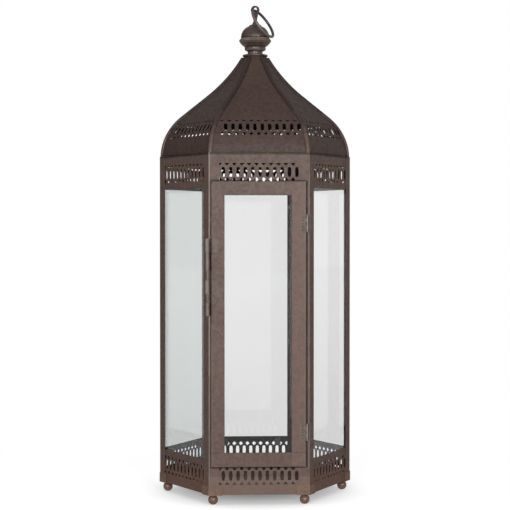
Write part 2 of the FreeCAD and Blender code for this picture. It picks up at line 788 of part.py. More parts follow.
def finial_bowl():
    """A spun bowl that widens to a rolled rim, and turns in under the dome."""
    turning("finial_bowl", [
        ("rod_hole", "neck_top"), ("bowl_foot_radius", "neck_top"), ("rim_radius", "rim_up"),
        ("dome_radius - rim_step", "bowl_top"), ("dome_radius - 1.7 * spun_sheet", "bowl_top"),
        ("rim_radius - 1.6 * spun_sheet", "rim_up"),
        ("bowl_foot_radius - 0.6 * spun_sheet", "neck_top + spun_sheet"),
        ("rod_hole", "neck_top + spun_sheet")],
        {1: "bowl_bulge", 2: "rim_bulge", 4: "-rim_bulge", 5: "-bowl_bulge"})


def finial_dome():
    """A spun dome with a flat disc on top, where the hanger stands."""
    turning("finial_dome", [
        ("dome_radius - spun_sheet", "bowl_top"), ("dome_radius", "bowl_top"),
        ("shoulder_radius + shoulder_step", "dome_shoulder"), ("shoulder_radius", "dome_shoulder"),
        ("shoulder_radius", "dome_top"), ("rod_hole", "dome_top"), ("rod_hole", "dome_top - spun_sheet"),
        ("shoulder_radius - shoulder_step", "dome_shoulder - 0.5 * spun_sheet")],
        {1: "dome_bulge", 7: "-dome_bulge"})


def hanger_stem():
    """The hanger: a rod that ties the finial to the collar, and an eye forged on its top."""
    body = new_body("hanger_stem", turned(-size("eye_turn")))
    profile = new_sketch(body, "profile", "XZ_Plane")
    outline(profile, [
        ("0", "nut_low - rod_tail"), ("rod_radius", "nut_low - rod_tail"), ("rod_radius", "dome_top"),
        ("stem_foot_radius", "dome_top"), ("stem_foot_radius", "dome_top + stem_foot_height"),
        ("stem_waist_radius", "dome_top + stem_waist_height"),
        ("0", "dome_top + stem_waist_height")], {4: "-stem_hollow"})
    revolve(body, profile)
    head = new_sketch(body, "head", "XZ_Plane")
    side_x = "eye_radius * cos(20 deg)"
    side_z = "eye_up - eye_radius * sin(20 deg)"
    foot_z = "dome_top + stem_waist_height - stem_waist_radius"
    outline(head, [
        ("-eye_foot / 2", foot_z), ("eye_foot / 2", foot_z), (side_x, side_z), (f"-{side_x}", side_z)],
        {1: "-eye_hollow", 2: "eye_radius * (1 + sin(20 deg))", 3: "-eye_hollow"})
    pad(body, head, "eye_sheet", midplane=True)
    hole = new_sketch(body, "eye_hole", "XZ_Plane")
    circle(hole, "0", "eye_up", "eye_hole_radius")
    pocket(body, hole, "2 * eye_sheet", midplane=True)


def hanger_nut():
    """The nut inside the roof that pulls the finial down on the collar."""
    body = new_body("hanger_nut")
    sketch = new_sketch(body, "hexagon", "XY_Plane", "nut_low")
    hexagon(sketch, "nut_width / 2")
    circle(sketch, "0", "0", "rod_hole")
    pad(body, sketch, "nut_height")


def hanging_ring():
    """The loose ring in the eye. It leans on the finial, and swings over the top to the other side."""
    lean = math.radians(size("ring_lean"))
    seat = size("eye_up - eye_hole_radius + ring_wire + ring_play")
    down = Vector(math.sin(lean), 0, -math.cos(lean))
    centre = Vector(0, 0, seat) + down * size("ring_radius")
    flat = Vector(math.cos(lean), 0, math.sin(lean))
    ring = doc.addObject("Part::Torus", "hanging_ring")
    ring.Label = "hanging_ring"
    ring.setExpression("Radius1", bound("ring_radius"))
    ring.setExpression("Radius2", bound("ring_wire"))
    turn = turned(-size("eye_turn"))
    ring.Placement = turn.multiply(Placement(centre, Rotation(Vector(0, 0, 1), flat)))
    sub_parts.append(ring)


# ---------------------------------------------------------------- door
def door_frame():
    """A sheet frame with a folded outer edge, laid over the posts, the plinth and the frieze."""
    body = new_body("door_frame")
    face = new_sketch(body, "face", "XZ_Plane", "door_back")
    rectangle(face, "-door_left", "door_right", "door_bottom", "door_top")
    rectangle(face, "-window_left", "window_right", "window_low", "window_high")
    pad(body, face, "door_depth")
    recess = new_sketch(body, "recess", "XZ_Plane", "door_back")
    rectangle(recess, "-(door_left - door_sheet)", "door_right - door_sheet",
              "door_bottom + door_sheet", "door_top - door_sheet")
    pocket(body, recess, "door_depth - door_sheet", reverse=True)
    front = -size("door_face")
    folded = body.Tip
    edges = [f"Edge{i}" for i, edge in enumerate(folded.Shape.Edges, start=1)
             if abs(edge.BoundBox.YMin - front) < 0.01 and abs(edge.BoundBox.YMax - front) < 0.01]
    soft = body.newObject("PartDesign::Fillet", "door_edge_fillet")
    soft.Base = (folded, edges)
    soft.setExpression("Radius", bound("door_edge_round"))
    body.Tip = soft


def door_glass():
    body = new_body("door_glass")
    sketch = new_sketch(body, "pane", "XZ_Plane", "door_plate_back - glass - door_glass_play")
    rectangle(sketch, "-(window_left + door_glass_lap)", "window_right + door_glass_lap",
              "window_low - door_glass_lap", "window_high + door_glass_lap")
    pad(body, sketch, "glass")


def door_glass_clips():
    """Bent tabs on the back of the door frame, two along each rail and three along each stile."""
    seat = size("door_plate_back")
    grip = size("door_plate_back - glass - door_glass_play")
    low, high = size("window_low - door_glass_lap"), size("window_high + door_glass_lap")
    left, right = -size("window_left + door_glass_lap"), size("window_right + door_glass_lap")
    middle = (left + right) / 2
    solids = []
    for edge, up in ((low, 1), (high, -1)):
        for x in (middle - size("door_clip_spacing") / 2, middle + size("door_clip_spacing") / 2):
            tab = clip(seat, grip, edge, up)
            tab.translate(Vector(x, 0, 0))
            solids.append(tab)
    for edge, turn in ((left, 90), (right, -90)):
        for z in (low + size("door_clip_drop"), (low + high) / 2, high - size("door_clip_drop")):
            tab = clip(seat, grip, 0, 1)
            tab.rotate(Vector(), Vector(0, 1, 0), turn)
            tab.translate(Vector(edge, 0, z))
            solids.append(tab)
    shape_part("door_glass_clips", Part.makeCompound(solids))


# ---------------------------------------------------------------- hinges
def padded(body, name, height_low, length, corners):
    """A pad of an outline that is drawn from above."""
    sketch = new_sketch(body, name, "XY_Plane", height_low)
    outline(sketch, corners)
    pad(body, sketch, length)


def sleeve(body, name, x, y, radius, height_low, length):
    """A round pad around an upright axis."""
    sketch = new_sketch(body, name, "XY_Plane", height_low)
    circle(sketch, x, y, radius)
    pad(body, sketch, length)


def bored(body, x, y, radius, height_low, length):
    """An upright hole."""
    sketch = new_sketch(body, "bore", "XY_Plane", height_low)
    circle(sketch, x, y, radius)
    pocket(body, sketch, length, reverse=True)


def knuckles(owner):
    """Start and length of each knuckle of one leaf, up from the bottom of a hinge. The frame's leaf
    has three of the five, and the door's leaf has the two between them."""
    step = "hinge_height / 5"
    gap = "hinge_end_play / 2"
    if owner == "door":
        return [(f"{k} * {step} + {gap}", f"{step} - 2 * {gap}") for k in (1, 3)]
    return [("0", f"{step} - {gap}"), (f"2 * {step} + {gap}", f"{step} - 2 * {gap}"),
            (f"4 * {step} + {gap}", f"{step} - {gap}")]


def door_leaf_outlines():
    """The leaf on the face of the door, and the arm that reaches to the barrel."""
    leaf_face = "-(door_face + hinge_leaf)"
    leaf_edge = "door_right - hinge_door_leaf_width"
    leaf = [(leaf_edge, "-door_face"), (leaf_edge, leaf_face),
            ("door_right", leaf_face), ("door_right", "-door_face")]
    arm = [("door_right - hinge_leaf", "-door_face"), ("door_right - hinge_leaf", leaf_face),
           ("hinge_x", leaf_face), ("hinge_x", "-door_face")]
    return leaf, arm


def frame_leaf_outlines():
    """The leaf bent around the corner of the post, and the arm that reaches out to the barrel."""
    leaf_face = "-(apothem + hinge_leaf)"
    near, far = "hinge_x - hinge_barrel_radius / 2", "hinge_x + hinge_barrel_radius / 2"
    leaf = [("half_side", "-apothem"), (near, "-apothem"), (near, leaf_face),
            ("half_side + hinge_leaf * tan(30 deg)", leaf_face),
            ("half_side + hinge_wrap * cos(60 deg) + hinge_leaf * cos(30 deg)",
             "hinge_wrap * sin(60 deg) - apothem - hinge_leaf * sin(30 deg)"),
            ("half_side + hinge_wrap * cos(60 deg)", "hinge_wrap * sin(60 deg) - apothem")]
    middle = "-(apothem + hinge_leaf / 2)"
    arm = [(near, middle), (near, "-hinge_y"), (far, "-hinge_y"), (far, middle)]
    return leaf, arm


def hinge_leaves(owner, outlines):
    """The leaves of one side of both hinges, each with its knuckles around the hinge axis."""
    body = new_body(f"hinge_{owner}_leaves", loose=True)
    leaf, arm = outlines
    for level in ("hinge_low", "hinge_high"):
        padded(body, f"leaf_{level}", level, "hinge_height", leaf)
        for start, length in knuckles(owner):
            padded(body, f"arm_{level}", f"{level} + {start}", length, arm)
            sleeve(body, f"barrel_{level}", "hinge_x", "-hinge_y", "hinge_barrel_radius",
                   f"{level} + {start}", length)
    bored(body, "hinge_x", "-hinge_y", "hinge_pin_radius + hinge_play", "foot_height", "body_height")


def hinge_pins():
    body = new_body("hinge_pins", loose=True)
    for level in ("hinge_low", "hinge_high"):
        sleeve(body, f"pin_{level}", "hinge_x", "-hinge_y", "hinge_pin_radius", level, "hinge_height")


def rivet(place, out):
    """A low domed rivet head on a leaf."""
    radius, rise = size("rivet_radius"), size("rivet_height")
    ball = (radius ** 2 + rise ** 2) / (2 * rise)
    head = Part.makeSphere(ball, place - out * (ball - rise))
    return head.common(Part.makeCylinder(radius, rise, place, out)).Solids[0]


def hinge_rivets():
    """A row of five heads on each leaf of the door, and three on each leaf of the post."""
    bend = Vector(0.5, math.cos(math.radians(30)), 0)
    bend_out = Vector(bend.y, -bend.x, 0)
    front = Vector(0, -1, 0)
    corner = Vector(size("half_side"), -size("apothem"), 0)
    post_place = corner + bend * size("post_rivet_in") + bend_out * size("hinge_leaf")
    door_place = Vector(size("door_right - hinge_door_leaf_width / 2"), -size("door_face + hinge_leaf"), 0)
    on_door, on_post = [], []
    for level in ("hinge_low", "hinge_high"):
        middle = Vector(0, 0, size(f"{level} + hinge_height / 2"))
        for k in (-2, -1, 0, 1, 2):
            on_door.append(rivet(door_place + middle + Vector(0, 0, k * size("rivet_pitch")), front))
        for k in (-1, 0, 1):
            on_post.append(rivet(post_place + middle + Vector(0, 0, k * size("post_rivet_pitch")), bend_out))
    shape_part("hinge_door_rivets", Part.makeCompound(on_door))
    shape_part("hinge_frame_rivets", Part.makeCompound(on_post))


# ---------------------------------------------------------------- barrel bolt
def latch_guides():
    """Two straps bent round the bolt, each with its leaf on the face of the door."""
    body = new_body("latch_guides", loose=True)
    leaf_face = "-(door_face + guide_leaf)"
    leaf_end = "guide_leaf_width - bolt_x"
    for level in ("guide_low", "guide_high"):
        length = f"{level}_length"
        sleeve(body, f"barrel_{level}", "-bolt_x", "-bolt_y", "guide_radius", level, length)
        padded(body, f"leaf_{level}", level, length, [
            ("-bolt_x", "-door_face"), ("-bolt_x", leaf_face),
            (leaf_end, leaf_face), (leaf_end, "-door_face")])
    bored(body, "-bolt_x", "-bolt_y", "bolt_radius + bolt_play", "keeper_low", "body_height")


def latch_bolt():
    """A turned drop bolt with a thicker grip, drawn up clear of its keeper."""
    bolt = new_body("latch_bolt")
    bolt.setExpression("Placement.Base.x", bound("-bolt_x"))
    bolt.setExpression("Placement.Base.y", bound("-bolt_y"))
    profile = new_sketch(bolt, "profile", "XZ_Plane")
    tip = "keeper_top + bolt_tip_gap"
    top = "guide_high + guide_high_length - bolt_top_gap"
    outline(profile, [
        ("0", tip), ("bolt_radius - bolt_tip_round", tip), ("bolt_radius", f"{tip} + bolt_tip_round"),
        ("bolt_radius", "grip_low"), ("grip_radius - grip_edge", "grip_low"),
        ("grip_radius", "grip_low + grip_edge"), ("grip_radius", "grip_top - grip_edge"),
        ("grip_radius - grip_edge", "grip_top"), ("bolt_radius", "grip_top"), ("bolt_radius", top),
        ("0", top)])
    revolve(bolt, profile)


def latch_keeper():
    """The sleeve that the bolt drops into, on a saddle over the corner of the post. It stays clear
    of the way that the edge of the door goes out."""
    body = new_body("latch_keeper")
    left, right = "-(bolt_x + keeper_saddle / 2)", "-(bolt_x - keeper_saddle / 2)"
    sleeve(body, "barrel", "-bolt_x", "-bolt_y", "keeper_radius", "keeper_low", "keeper_length")
    padded(body, "saddle", "keeper_low", "keeper_length", [
        (left, "-bolt_y"), (right, "-bolt_y"), (right, "-apothem"), ("-half_side", "-apothem"),
        (left, "(bolt_x + keeper_saddle / 2 - half_side) * tan(60 deg) - apothem")])
    bored(body, "-bolt_x", "-bolt_y", "bolt_radius + keeper_play", "keeper_low", "keeper_length")


# ---------------------------------------------------------------- the whole lantern
for k, name in enumerate(CORNERS):
    corner_post(name, 60 * k)
for k, name in enumerate(WALLS):
    pierced_panel(f"plinth_panel_{name}", 60 * k, "foot_height", "plinth_top", "plinth_top", -1)
    pierced_panel(f"frieze_panel_{name}", 60 * k, "frieze_low", "eave", "frieze_low", 1)
    roof_panel(name, 60 * k)
for k, name in enumerate(WALLS[1:], start=1):
    glass_pane(name, 60 * k)
pane_clips()
base_plate()
foot_brackets()
ball_feet()
foot_screws()
rib = roof_rib_solid()
for k, name in enumerate(CORNERS):
    shape_part(f"roof_rib_{name}", rib.copy(), turned(60 * k))
roof_collar()
finial_neck()
finial_bowl()
finial_dome()
hanger_stem()
hanger_nut()
hanging_ring()
door_frame()
door_glass()
door_glass_clips()
hinge_leaves("frame", frame_leaf_outlines())
hinge_leaves("door", door_leaf_outlines())
hinge_pins()
hinge_rivets()
latch_guides()
latch_bolt()
latch_keeper()

# ---------------------------------------------------------------- check and write
doc.recompute()
for thing in doc.Objects:
    if "Invalid" in thing.State or "Error" in thing.State:
        raise ValueError(f"{thing.Name} is {thing.State}")
for part in sub_parts:
    if part.Shape.isNull() or not part.Shape.isValid():
        raise ValueError(f"{part.Label} has no valid shape")

os.makedirs("parts", exist_ok=True)
for part in sub_parts:
    part.Shape.exportStep(f"parts/{part.Label}.step")
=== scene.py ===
import math

import bmesh
import bpy
from mathutils import Matrix, Vector


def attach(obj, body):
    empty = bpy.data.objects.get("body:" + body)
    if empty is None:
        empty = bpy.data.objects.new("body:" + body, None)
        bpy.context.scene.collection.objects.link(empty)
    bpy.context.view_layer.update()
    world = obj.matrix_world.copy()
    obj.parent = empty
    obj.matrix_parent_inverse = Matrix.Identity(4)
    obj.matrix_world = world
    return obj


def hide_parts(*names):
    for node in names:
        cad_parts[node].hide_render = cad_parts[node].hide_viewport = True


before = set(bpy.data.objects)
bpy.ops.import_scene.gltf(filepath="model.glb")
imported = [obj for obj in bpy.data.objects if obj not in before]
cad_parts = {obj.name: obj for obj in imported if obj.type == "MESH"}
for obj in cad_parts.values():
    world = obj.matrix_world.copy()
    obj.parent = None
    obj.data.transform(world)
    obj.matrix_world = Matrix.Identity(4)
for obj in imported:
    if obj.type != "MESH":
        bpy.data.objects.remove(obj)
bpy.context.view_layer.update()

# ---------------------------------------------------------------- camera
# A long lens at the height of the glass, a step to the left of the lantern's front, tipped
# down by one degree.
camera_data = bpy.data.cameras.new("camera")
camera_data.lens = 102.85
camera_data.sensor_width = 36.0
camera = bpy.data.objects.new("camera", camera_data)
camera.location = (-0.11287, -2.37037, 0.4241)
tipped_down, turned_right = 0.978, 2.72
camera.rotation_euler = (math.radians(90.0 - tipped_down), 0.0, math.radians(-turned_right))
bpy.context.scene.collection.objects.link(camera)
bpy.context.scene.camera = camera

# ---------------------------------------------------------------- studio
# A white floor that runs out into a white room. Two soft lamps stand left and right behind the
# camera, level with the lantern, and a narrow one far on the left draws lines along the edges.
# The room is dim for everything that it lights, and dimmest overhead. A gloss finds a paler room
# overhead and to the right, and a dim floor.
view = bpy.context.scene.view_settings
view.view_transform = "Standard"


def math_node(nodes, links, operation, first, second):
    node = nodes.new("ShaderNodeMath")
    node.operation = operation
    for socket, value in zip(node.inputs, (first, second)):
        if isinstance(value, (int, float)):
            socket.default_value = value
        else:
            links.new(value, socket)
    return node.outputs[0]


def ramped(nodes, links, value, low, high, to_low=0.0, to_high=1.0):
    node = nodes.new("ShaderNodeMapRange")
    node.interpolation_type = "SMOOTHSTEP"
    node.inputs["From Min"].default_value = low
    node.inputs["From Max"].default_value = high
    node.inputs["To Min"].default_value = to_low
    node.inputs["To Max"].default_value = to_high
    links.new(value, node.inputs["Value"])
    return node.outputs["Result"]


def looked_at(nodes, links):
    """Two switches: one for a ray of the picture itself, also through glass, and one for a ray
    that a gloss sends out and that has passed no glass."""
    path = nodes.new("ShaderNodeLightPath")
    fresh = math_node(nodes, links, "LESS_THAN", path.outputs["Diffuse Depth"], 0.5)
    through = math_node(nodes, links, "MULTIPLY", path.outputs["Is Transmission Ray"], fresh)
    seen = math_node(nodes, links, "MAXIMUM", path.outputs["Is Camera Ray"], through)
    mirrored = math_node(nodes, links, "MULTIPLY", path.outputs["Is Glossy Ray"], fresh)
    mirrored = math_node(nodes, links, "SUBTRACT", mirrored, seen)
    mirrored.node.use_clamp = True
    return seen, mirrored


def white_room():
    world = bpy.data.worlds.new("white_room")
    world.use_nodes = True
    nodes, links = world.node_tree.nodes, world.node_tree.links
    nodes.clear()
    way = nodes.new("ShaderNodeSeparateXYZ")
    links.new(nodes.new("ShaderNodeTexCoord").outputs["Generated"], way.inputs[0])
    low = ramped(nodes, links, way.outputs["Z"], 0.15, 0.6, 1.0, 0.0)
    right = ramped(nodes, links, way.outputs["X"], 0.1, 0.8, 0.04, 0.50)
    back = ramped(nodes, links, way.outputs["Y"], -0.3, 0.5)
    sky = math_node(nodes, links, "MULTIPLY", math_node(nodes, links, "MULTIPLY", right, back), low)
    fill = nodes.new("ShaderNodeBackground")
    fill.inputs["Color"].default_value = (1.0, 1.0, 1.0, 1.0)
    links.new(ramped(nodes, links, way.outputs["Z"], 0.0, 0.7, 0.10, 0.05), fill.inputs["Strength"])
    gloss = nodes.new("ShaderNodeBackground")
    gloss.inputs["Color"].default_value = (1.0, 1.0, 1.0, 1.0)
    overhead = ramped(nodes, links, way.outputs["Z"], 0.15, 0.75, 0.03, 0.42)
    links.new(math_node(nodes, links, "ADD", sky, overhead), gloss.inputs["Strength"])
    white = nodes.new("ShaderNodeBackground")
    white.inputs["Color"].default_value = (1.0, 1.0, 1.0, 1.0)
    white.inputs["Strength"].default_value = 1.0
    seen, mirrored = looked_at(nodes, links)
    lit = nodes.new("ShaderNodeMixShader")
    links.new(mirrored, lit.inputs["Fac"])
    links.new(fill.outputs[0], lit.inputs[1])
    links.new(gloss.outputs[0], lit.inputs[2])
    mix = nodes.new("ShaderNodeMixShader")
    links.new(seen, mix.inputs["Fac"])
    links.new(lit.outputs[0], mix.inputs[1])
    links.new(white.outputs[0], mix.inputs[2])
    out = nodes.new("ShaderNodeOutputWorld")
    links.new(mix.outputs[0], out.inputs["Surface"])
    bpy.context.scene.world = world


def white_floor():
    floor_mesh = bpy.data.meshes.new("floor")
    plane = bmesh.new()
    bmesh.ops.create_grid(plane, x_segments=1, y_segments=1, size=12.0)
    plane.to_mesh(floor_mesh)
    plane.free()
    floor = bpy.data.objects.new("floor", floor_mesh)
    bpy.context.scene.collection.objects.link(floor)
    material = bpy.data.materials.new("white_floor")
    material.use_nodes = True
    nodes, links = material.node_tree.nodes, material.node_tree.links
    nodes.clear()
    seen, mirrored = looked_at(nodes, links)
    paint = nodes.new("ShaderNodeBsdfDiffuse")
    paint.inputs["Color"].default_value = (0.80, 0.80, 0.80, 1.0)
    reach = nodes.new("ShaderNodeVectorMath")
    reach.operation = "LENGTH"
    links.new(nodes.new("ShaderNodeTexCoord").outputs["Object"], reach.inputs[0])
    contact = nodes.new("ShaderNodeAmbientOcclusion")
    contact.samples = 8
    contact.inputs["Distance"].default_value = 0.12
    open_air = ramped(nodes, links, contact.outputs["AO"], 0.0, 1.0, 0.62, 1.0)
    # The floor's glow is turned down close to the lantern as a painted shadow round its foot.
    painted_shadow = ramped(nodes, links, reach.outputs["Value"], 0.03, 0.19, 0.34, 0.90)
    lift = math_node(nodes, links, "MULTIPLY", math_node(nodes, links, "MULTIPLY", open_air, painted_shadow), seen)
    near_light = nodes.new("ShaderNodeEmission")
    links.new(lift, near_light.inputs["Strength"])
    near = nodes.new("ShaderNodeAddShader")
    links.new(paint.outputs[0], near.inputs[0])
    links.new(near_light.outputs[0], near.inputs[1])
    far = ramped(nodes, links, reach.outputs["Value"], 0.26, 0.62)
    far_light = nodes.new("ShaderNodeEmission")
    far_light.inputs["Strength"].default_value = 1.0
    total = nodes.new("ShaderNodeMixShader")
    links.new(math_node(nodes, links, "MULTIPLY", far, seen), total.inputs["Fac"])
    links.new(near.outputs[0], total.inputs[1])
    links.new(far_light.outputs[0], total.inputs[2])
    dim_light = nodes.new("ShaderNodeEmission")
    dim_light.inputs["Strength"].default_value = 0.30
    whole = nodes.new("ShaderNodeMixShader")
    links.new(mirrored, whole.inputs["Fac"])
    links.new(total.outputs[0], whole.inputs[1])
    links.new(dim_light.outputs[0], whole.inputs[2])
    out = nodes.new("ShaderNodeOutputMaterial")
    links.new(whole.outputs[0], out.inputs["Surface"])
    floor_mesh.materials.append(material)


def soft_lamp(name, width, height, power, place, aim):
    lamp_data = bpy.data.lights.new(name, "AREA")
    lamp_data.shape = "RECTANGLE"
    lamp_data.size = width
    lamp_data.size_y = height
    lamp_data.energy = power
    lamp = bpy.data.objects.new(name, lamp_data)
    lamp.location = place
    lamp.rotation_euler = (Vector(aim) - Vector(place)).to_track_quat("-Z", "Y").to_euler()
    bpy.context.scene.collection.objects.link(lamp)


white_room()
white_floor()
soft_lamp("left_lamp", 1.0, 1.1, 30.0, (-0.85, -3.2, 0.80), (0.0, 0.0, 0.35))
soft_lamp("right_lamp", 1.0, 1.1, 28.0, (1.05, -3.2, 0.80), (0.0, 0.0, 0.35))
soft_lamp("edge_lamp", 0.14, 1.6, 2.5, (-2.1, -1.25, 0.55), (0.0, 0.0, 0.35))

# ---------------------------------------------------------------- corner posts
# Six strips of sheet iron bent to the 120 degrees of the hexagon's corners. They are lacquered
# dark bronze over iron that has gone blotchy, and hands have rubbed their edges pale.
WALLS = ("front", "front_right", "back_right", "back", "back_left", "front_left")
CORNERS = ("right", "back_right", "back_left", "left", "front_left", "front_right")


def group_socket(group, name, kind, way, value=None):
    socket = group.interface.new_socket(name, in_out=way, socket_type=kind)
    if value is not None:
        socket.default_value = value


def noise(nodes, links, vector, scale, detail, roughness, distortion=0.0):
    node = nodes.new("ShaderNodeTexNoise")
    node.inputs["Scale"].default_value = scale
    node.inputs["Detail"].default_value = detail
    node.inputs["Roughness"].default_value = roughness
    node.inputs["Distortion"].default_value = distortion
    links.new(vector, node.inputs["Vector"])
    return node.outputs["Fac"]


def blend_colour(nodes, links, fac, first, second, kind="MIX"):
    node = nodes.new("ShaderNodeMix")
    node.data_type = "RGBA"
    node.blend_type = kind
    for socket, value in zip((node.inputs["Factor"], node.inputs[6], node.inputs[7]), (fac, first, second)):
        if isinstance(value, (int, float, tuple)):
            socket.default_value = value
        else:
            links.new(value, socket)
    return node.outputs[2]


def make_lacquer_group():
    """Blotches, fine mottle and grain of old lacquer: a colour, a roughness and a height."""
    group = bpy.data.node_groups.new("old_lacquer", "ShaderNodeTree")
    group_socket(group, "Vector", "NodeSocketVector", "INPUT")
    group_socket(group, "Lacquer", "NodeSocketColor", "INPUT", (0.19, 0.14, 0.12, 1.0))
    group_socket(group, "Dark", "NodeSocketColor", "INPUT", (0.10, 0.07, 0.06, 1.0))
    group_socket(group, "Rust", "NodeSocketColor", "INPUT", (0.26, 0.14, 0.08, 1.0))
    group_socket(group, "Rust amount", "NodeSocketFloat", "INPUT", 0.3)
    group_socket(group, "Smoothest", "NodeSocketFloat", "INPUT", 0.42)
    group_socket(group, "Color", "NodeSocketColor", "OUTPUT")
    group_socket(group, "Roughness", "NodeSocketFloat", "OUTPUT")
    group_socket(group, "Height", "NodeSocketFloat", "OUTPUT")
    nodes, links = group.nodes, group.links
    ins = nodes.new("NodeGroupInput").outputs
    outs = nodes.new("NodeGroupOutput").inputs
    blotch = noise(nodes, links, ins["Vector"], scale=22.0, detail=4.0, roughness=0.6, distortion=0.4)
    mottle = noise(nodes, links, ins["Vector"], scale=160.0, detail=6.0, roughness=0.72)
    grain = noise(nodes, links, ins["Vector"], scale=900.0, detail=3.0, roughness=0.6)
    dark_mask = math_node(nodes, links, "MULTIPLY", ramped(nodes, links, mottle, 0.42, 0.62), 0.62)
    darker = blend_colour(nodes, links, dark_mask, ins["Lacquer"], ins["Dark"])
    shade = blend_colour(nodes, links, ramped(nodes, links, blotch, 0.35, 0.7, 0.0, 0.35), darker, ins["Dark"])
    patches = noise(nodes, links, ins["Vector"], scale=75.0, detail=7.0, roughness=0.7, distortion=0.8)
    patched = ramped(nodes, links, patches, 0.46, 0.68)
    rust_mask = math_node(nodes, links, "MULTIPLY", patched, ins["Rust amount"])
    rusted = blend_colour(nodes, links, rust_mask, shade, ins["Rust"])
    speckle = ramped(nodes, links, grain, 0.3, 0.7, 0.74, 1.30)
    speckled = blend_colour(nodes, links, 1.0, rusted, speckle, "MULTIPLY")
    links.new(speckled, outs["Color"])
    rougher = ramped(nodes, links, mottle, 0.3, 0.7, 0.0, 0.24)
    links.new(math_node(nodes, links, "ADD", ins["Smoothest"], rougher), outs["Roughness"])
    dents = math_node(nodes, links, "MULTIPLY", blotch, 1.4)
    texture = math_node(nodes, links, "ADD", math_node(nodes, links, "MULTIPLY", mottle, 0.3),
                        math_node(nodes, links, "MULTIPLY", grain, 0.12))
    links.new(math_node(nodes, links, "ADD", dents, texture), outs["Height"])
    return group


def make_rub_group():
    """Where an edge has been rubbed through: the edge attribute, broken up by noise."""
    group = bpy.data.node_groups.new("rubbed_edge", "ShaderNodeTree")
    group_socket(group, "Vector", "NodeSocketVector", "INPUT")
    group_socket(group, "Amount", "NodeSocketFloat", "INPUT", 0.7)
    group_socket(group, "Mask", "NodeSocketFloat", "OUTPUT")
    nodes, links = group.nodes, group.links
    ins = nodes.new("NodeGroupInput").outputs
    outs = nodes.new("NodeGroupOutput").inputs
    edge = nodes.new("ShaderNodeAttribute")
    edge.attribute_name = "rub"
    wear = noise(nodes, links, ins["Vector"], scale=55.0, detail=5.0, roughness=0.65)
    broken = ramped(nodes, links, wear, 0.36, 0.6)
    mask = math_node(nodes, links, "MULTIPLY", edge.outputs["Fac"], broken)
    links.new(math_node(nodes, links, "MULTIPLY", mask, ins["Amount"]), outs["Mask"])
    return group


def make_patch_group():
    """A box-shaped patch: full between its low and high corners, soft at its faces."""
    group = bpy.data.node_groups.new("box_patch", "ShaderNodeTree")
    group_socket(group, "Vector", "NodeSocketVector", "INPUT")
    group_socket(group, "Middle", "NodeSocketVector", "INPUT")
    group_socket(group, "Half size", "NodeSocketVector", "INPUT")
    group_socket(group, "Softness", "NodeSocketFloat", "INPUT", 0.0008)
    group_socket(group, "Mask", "NodeSocketFloat", "OUTPUT")
    nodes, links = group.nodes, group.links
    ins = nodes.new("NodeGroupInput").outputs
    outs = nodes.new("NodeGroupOutput").inputs
    away = nodes.new("ShaderNodeVectorMath")
    away.operation = "SUBTRACT"
    links.new(ins["Vector"], away.inputs[0])
    links.new(ins["Middle"], away.inputs[1])
    span = nodes.new("ShaderNodeVectorMath")
    span.operation = "ABSOLUTE"
    links.new(away.outputs[0], span.inputs[0])
    beyond = nodes.new("ShaderNodeVectorMath")
    beyond.operation = "SUBTRACT"
    links.new(span.outputs[0], beyond.inputs[0])
    links.new(ins["Half size"], beyond.inputs[1])
    parts = nodes.new("ShaderNodeSeparateXYZ")
    links.new(beyond.outputs[0], parts.inputs[0])
    most = math_node(nodes, links, "MAXIMUM", parts.outputs["X"], parts.outputs["Y"])
    most = math_node(nodes, links, "MAXIMUM", most, parts.outputs["Z"])
    faded = math_node(nodes, links, "DIVIDE", most, ins["Softness"])
    left = math_node(nodes, links, "SUBTRACT", 1.0, faded)
    left.node.use_clamp = True
    links.new(left, outs["Mask"])
    return group


lacquer_group = make_lacquer_group()
rub_group = make_rub_group()
patch_group = make_patch_group()


